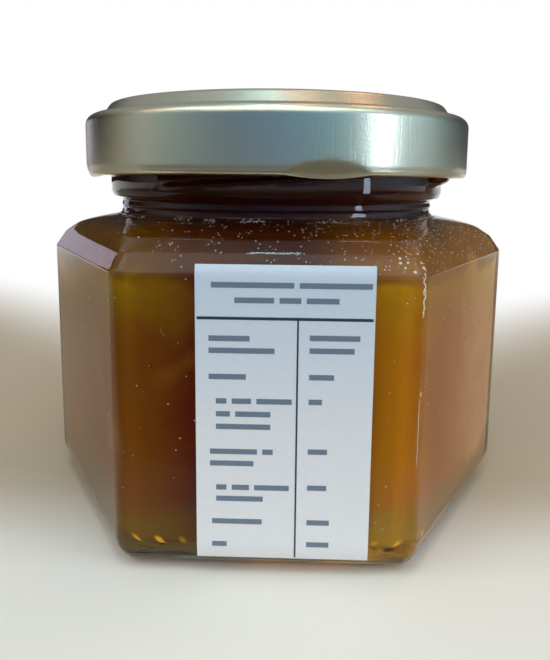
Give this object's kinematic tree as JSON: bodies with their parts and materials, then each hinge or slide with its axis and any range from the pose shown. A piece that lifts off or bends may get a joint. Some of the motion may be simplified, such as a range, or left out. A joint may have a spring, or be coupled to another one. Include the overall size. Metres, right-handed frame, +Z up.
{
  "type": "jar of pumpkin jam",
  "caption": "Squat hexagonal glass jar of pumpkin jam with a bevelled shoulder, round neck, gold twist-off lid and a plain paper table label on one face.",
  "frame": {"origin": "middle of the base, on the surface that the jar stands on", "axes": "+Z up along the jar's axis; the labelled face looks along -Y and +X runs to its right"},
  "size_m": [0.0818, 0.0717, 0.0676],
  "materials": {
    "clear_glass": "clear, fire-polished",
    "pumpkin_jam": "moist translucent jam",
    "lacquered_tinplate": "satin gold lacquer",
    "sealing_compound": "matte",
    "label_paper": "semi-gloss paper"
  },
  "bodies": {
    "root": {"glass_jar": "clear_glass", "jam": "pumpkin_jam", "lid": "lacquered_tinplate", "lid_seal": "sealing_compound", "label": "label_paper"}
  },
  "joints": []
}
